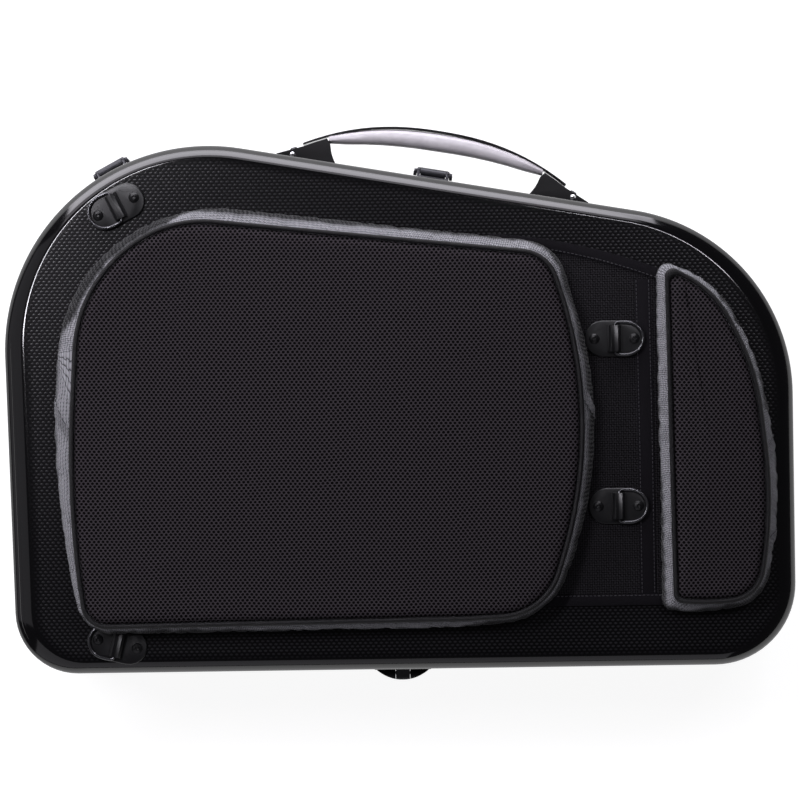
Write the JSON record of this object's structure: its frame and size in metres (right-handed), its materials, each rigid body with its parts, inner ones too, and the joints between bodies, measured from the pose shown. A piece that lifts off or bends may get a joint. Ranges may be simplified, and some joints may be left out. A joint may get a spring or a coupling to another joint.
{
  "type": "french horn case",
  "caption": "Hard case for a french horn with a detachable bell: two moulded halves, hinged and latched, back pads, lugs with D-rings, top handle.",
  "frame": {"origin": "on the flat outer face of the front half, on the case's centre line in X and half way between its straight foot edge and the top of its left shoulder in Y", "axes": "+X along the case, to the right as the back is seen; +Y from the hinge edge to the handle edge; +Z out of the padded back. The case lies on its front half."},
  "size_m": [0.6371, 0.4565, 0.2272],
  "materials": {
    "shell": "high gloss, embossed face",
    "rim": "satin",
    "seal": "matt",
    "liner": "velour over foam",
    "foam_block": "velour over foam",
    "panel": "ballistic weave",
    "airmesh": "spacer mesh over foam",
    "piping": "woven binding",
    "black_plastic": "matt",
    "bright_steel": "polished",
    "latch_metal": "satin",
    "strap": "semi-gloss",
    "grip": "soft matt",
    "lug_metal": "satin",
    "ring_metal": "semi-gloss"
  },
  "bodies": {
    "front_half": {"front_shell": "shell", "front_rim": "rim", "front_liner": "liner", "bell_ring_block": "foam_block", "valve_rest": "foam_block", "branch_rest": "foam_block", "mouthpiece_block": "foam_block", "hinge_front_leaf": "black_plastic", "hinge_pin": "bright_steel", "latch_keeper_middle": "latch_metal", "latch_keeper_shoulder": "latch_metal", "handle_strap": "strap", "handle_grip": "grip", "handle_bracket_left": "black_plastic", "handle_bracket_right": "black_plastic", "handle_screw_left": "bright_steel", "handle_screw_right": "bright_steel"},
    "back_half": {"back_shell": "shell", "back_rim": "rim", "rim_seal": "seal", "back_liner": "liner", "fabric_panel": "panel", "main_pad": "airmesh", "main_pad_piping": "piping", "small_pad": "airmesh", "small_pad_piping": "piping", "hinge_back_leaf": "black_plastic", "latch_base_middle": "latch_metal", "latch_base_shoulder": "latch_metal", "latch_barrel_middle": "bright_steel", "latch_barrel_shoulder": "bright_steel", "lug_plate_top_left": "lug_metal", "lug_plate_foot_left": "lug_metal", "lug_plate_mid_upper": "lug_metal", "lug_plate_mid_lower": "lug_metal"},
    "latch_middle": {"latch_lever_middle": "latch_metal"},
    "latch_shoulder": {"latch_lever_shoulder": "latch_metal"},
    "d_ring_top_left": {"d_ring_top_left": "ring_metal"},
    "d_ring_foot_left": {"d_ring_foot_left": "ring_metal"},
    "d_ring_mid_upper": {"d_ring_mid_upper": "ring_metal"},
    "d_ring_mid_lower": {"d_ring_mid_lower": "ring_metal"}
  },
  "joints": [
    {"name": "case_hinge", "type": "hinge", "parent": "front_half", "child": "back_half", "pos_m": [0, -0.21989, 0.097], "axis": [1, 0, 0], "range_deg": [0, 145]},
    {"name": "latch_middle_pivot", "type": "hinge", "parent": "back_half", "child": "latch_middle", "pos_m": [0.0304, 0.18998, 0.119], "axis": [0.9856, -0.1692, 0], "range_deg": [0, 110]},
    {"name": "latch_shoulder_pivot", "type": "hinge", "parent": "back_half", "child": "latch_shoulder", "pos_m": [-0.23326, 0.19813, 0.119], "axis": [0.8796, 0.4756, 0], "range_deg": [0, 110]},
    {"name": "d_ring_top_left_pivot", "type": "hinge", "parent": "back_half", "child": "d_ring_top_left", "pos_m": [-0.2235, 0.16214, 0.2011], "axis": [-0.4415, 0.8973, 0], "range_deg": [0, 172]},
    {"name": "d_ring_foot_left_pivot", "type": "hinge", "parent": "back_half", "child": "d_ring_foot_left", "pos_m": [-0.227, -0.18639, 0.2011], "axis": [0.2267, 0.974, 0], "range_deg": [0, 165]},
    {"name": "d_ring_mid_upper_pivot", "type": "hinge", "parent": "back_half", "child": "d_ring_mid_upper", "pos_m": [0.172, 0.05151, 0.203], "axis": [0, -1, 0], "range_deg": [0, 120]},
    {"name": "d_ring_mid_lower_pivot", "type": "hinge", "parent": "back_half", "child": "d_ring_mid_lower", "pos_m": [0.1735, -0.08189, 0.203], "axis": [0, -1, 0], "range_deg": [0, 120]}
  ]
}
